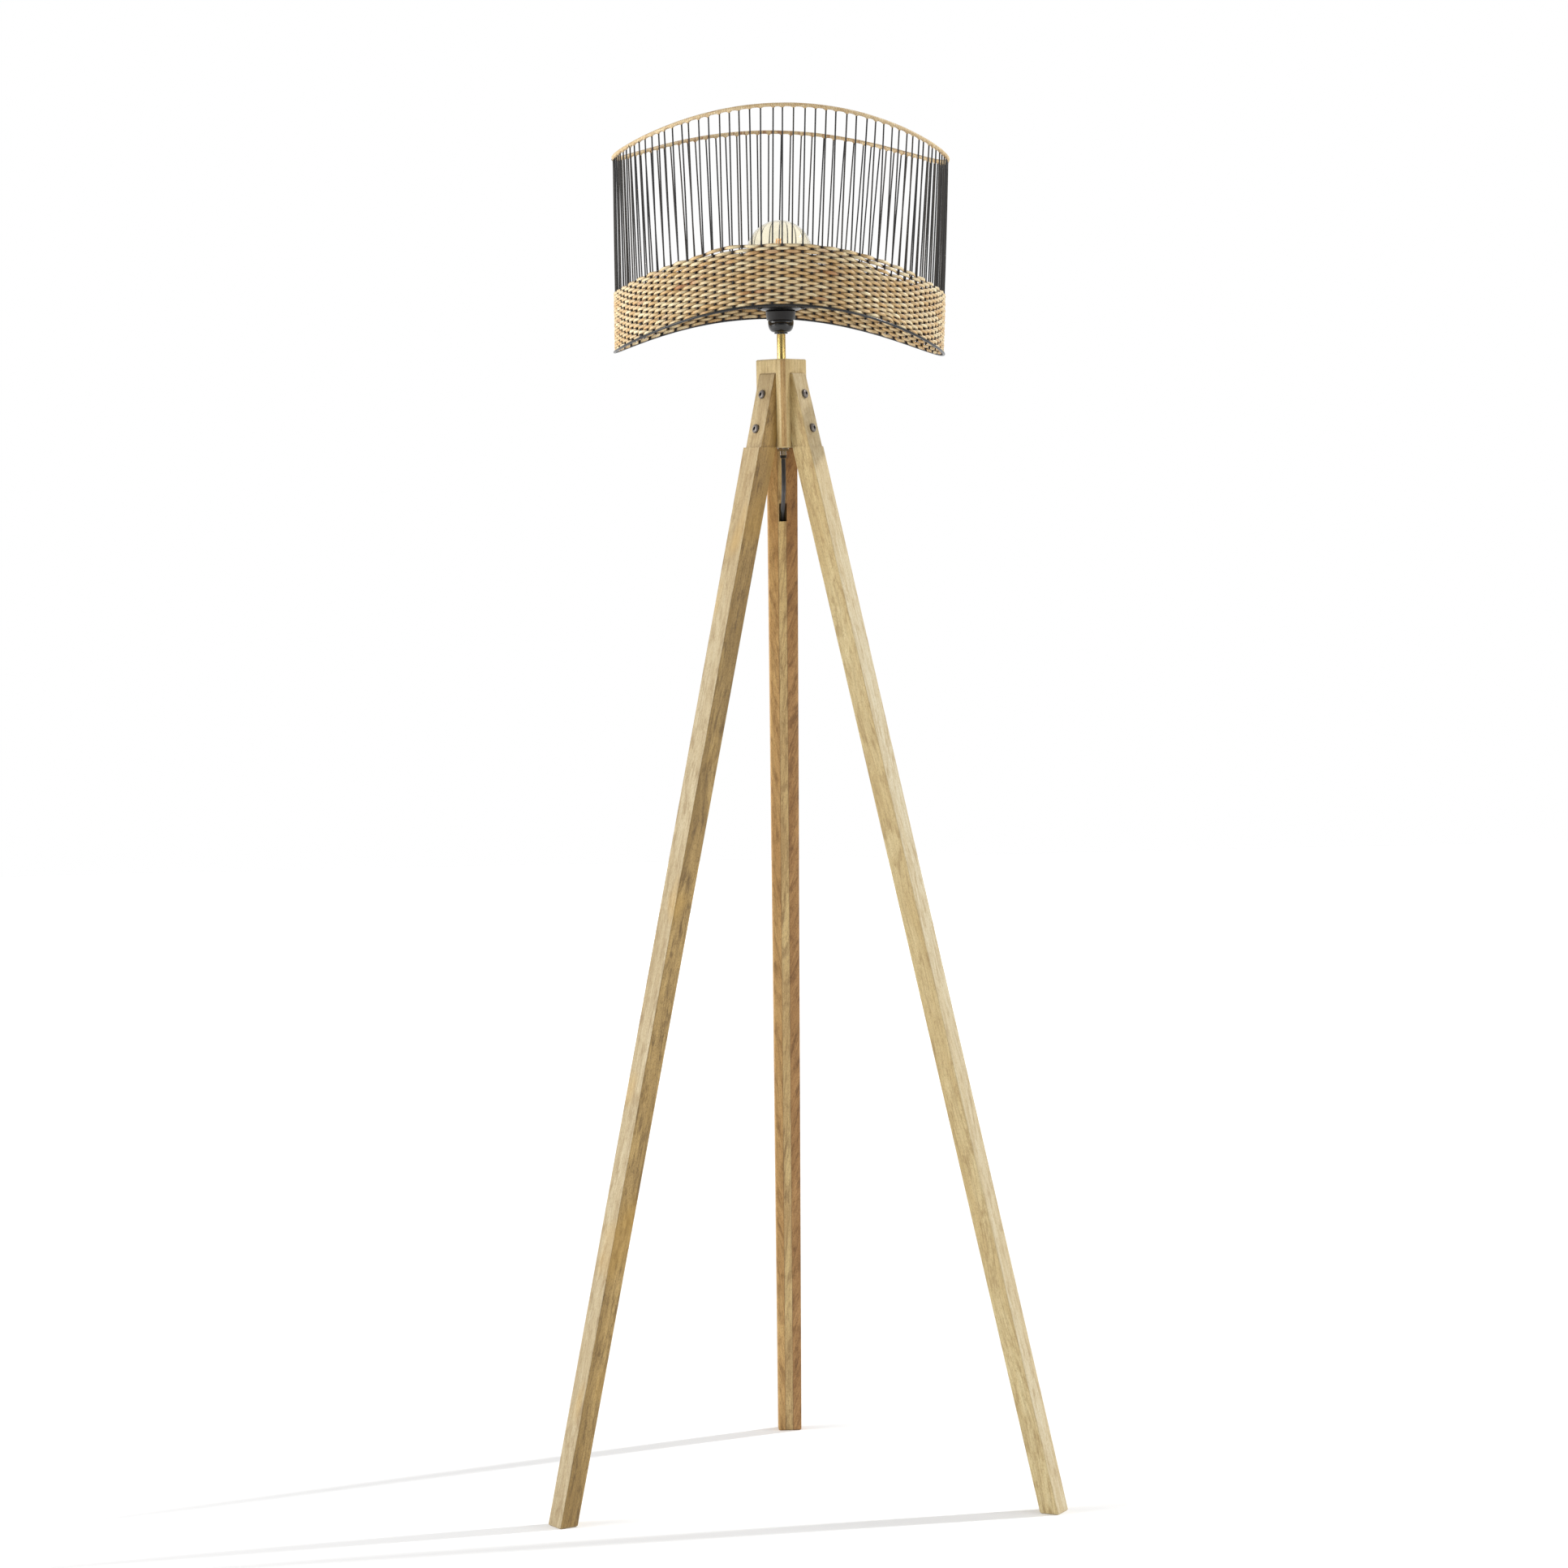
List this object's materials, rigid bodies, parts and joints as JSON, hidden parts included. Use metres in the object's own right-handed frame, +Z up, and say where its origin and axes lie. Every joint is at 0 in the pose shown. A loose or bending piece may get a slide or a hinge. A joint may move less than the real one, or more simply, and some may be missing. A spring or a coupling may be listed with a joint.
{
  "type": "floor lamp",
  "caption": "Tripod floor lamp with splayed wooden legs, a string-laced drum shade with a woven rattan band, and a globe bulb.",
  "frame": {"origin": "on the floor, under the middle of the object's box; the lamp's own axis stands 72.5 mm in front of it", "axes": "+Z up; the front of the lamp faces -Y, and the back leg points along +Y"},
  "size_m": [0.6178, 0.5518, 1.6647],
  "materials": {
    "leg_wood": "light tan solid wood, satin oil",
    "back_leg_wood": "laminated wood in orange, pale and red-brown strips, satin oil",
    "block_wood": "pale wood, satin oil",
    "dark_steel": "dark gunmetal bolt",
    "nickel": "nickel plate",
    "brass": "polished brass",
    "bakelite": "black moulded holder",
    "black_plastic": "black cord bush",
    "cord_sheath": "black round cord",
    "bulb_glass": "clear glass with an amber tint",
    "inner_glass": "clear glass mount",
    "filament": "dark filament wire",
    "black_wire": "black powder coat",
    "black_string": "black laced string",
    "rattan": "natural rattan, plain weave",
    "rattan_wrap": "pale rattan skin, wrapped"
  },
  "bodies": {
    "stand": {"head_block": "block_wood", "left_leg": "leg_wood", "right_leg": "leg_wood", "back_leg": "back_leg_wood", "left_upper_bolt": "dark_steel", "left_lower_bolt": "dark_steel", "right_upper_bolt": "dark_steel", "right_lower_bolt": "dark_steel", "back_upper_bolt": "dark_steel", "back_lower_bolt": "dark_steel", "left_upper_insert": "brass", "left_lower_insert": "brass", "right_upper_insert": "brass", "right_lower_insert": "brass", "back_upper_insert": "brass", "back_lower_insert": "brass", "threaded_pipe": "nickel", "pipe_washer": "nickel", "pipe_nut": "nickel", "holder_lock_nut": "nickel", "cord_bush": "black_plastic", "cord": "cord_sheath", "stem_tube": "brass", "holder_cap": "bakelite", "holder_body": "bakelite", "holder_shell": "brass", "contact_tongue": "brass"},
    "bulb": {"bulb_contact": "nickel", "bulb_cap": "brass", "bulb_globe": "bulb_glass", "bulb_stem": "inner_glass", "bulb_filament": "filament"},
    "shade_ring": {"shade_ring": "bakelite"},
    "shade": {"shade_fitter": "black_wire", "left_fitter_arm": "black_wire", "right_fitter_arm": "black_wire", "back_fitter_arm": "black_wire", "bottom_rim": "black_wire", "top_rim_wire": "black_wire", "top_rim_wrap": "rattan_wrap", "woven_band": "rattan", "lacing_01": "black_string", "lacing_02": "black_string", "lacing_03": "black_string", "lacing_04": "black_string", "lacing_05": "black_string", "lacing_06": "black_string", "lacing_07": "black_string", "lacing_08": "black_string", "lacing_09": "black_string", "lacing_10": "black_string", "lacing_11": "black_string", "lacing_12": "black_string"}
  },
  "joints": [
    {"name": "bulb_turn", "type": "hinge", "parent": "stand", "child": "bulb", "pos_m": [0, -0.07298, 1.445], "axis": [0, 0, 1], "continuous": true},
    {"name": "shade_ring_turn", "type": "hinge", "parent": "stand", "child": "shade_ring", "pos_m": [0, -0.07298, 1.438], "axis": [0, 0, 1], "continuous": true},
    {"name": "shade_turn", "type": "hinge", "parent": "stand", "child": "shade", "pos_m": [0, -0.07298, 1.434], "axis": [0, 0, 1], "continuous": true}
  ]
}
